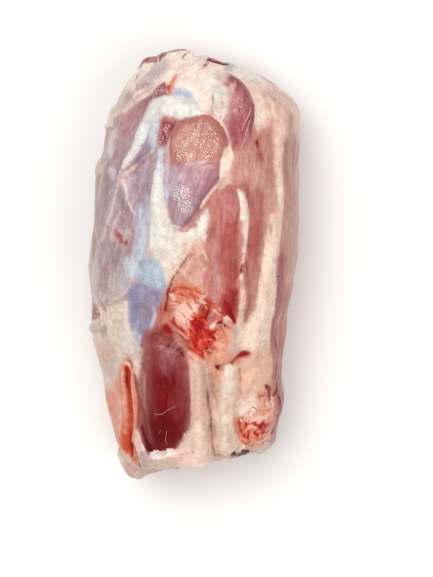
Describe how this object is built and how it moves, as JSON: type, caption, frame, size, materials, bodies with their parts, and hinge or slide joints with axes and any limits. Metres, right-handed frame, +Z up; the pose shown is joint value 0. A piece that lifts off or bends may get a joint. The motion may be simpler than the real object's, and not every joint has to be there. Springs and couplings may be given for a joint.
{
  "type": "raw hind shank",
  "caption": "Whole trimmed raw beef hind shank lying on its side: long rounded meat with fascia, tendons, fat seams and cut muscle ends.",
  "frame": {"origin": "on the surface the meat rests on, under the middle of its outline", "axes": "+Z up, +Y along the shank towards its thick upper end, +X across it"},
  "size_m": [0.1282, 0.2626, 0.1014],
  "materials": {
    "raw_meat": "wet raw meat under thin fascia and fat"
  },
  "bodies": {
    "root": {"hind_shank": "raw_meat"}
  },
  "joints": []
}
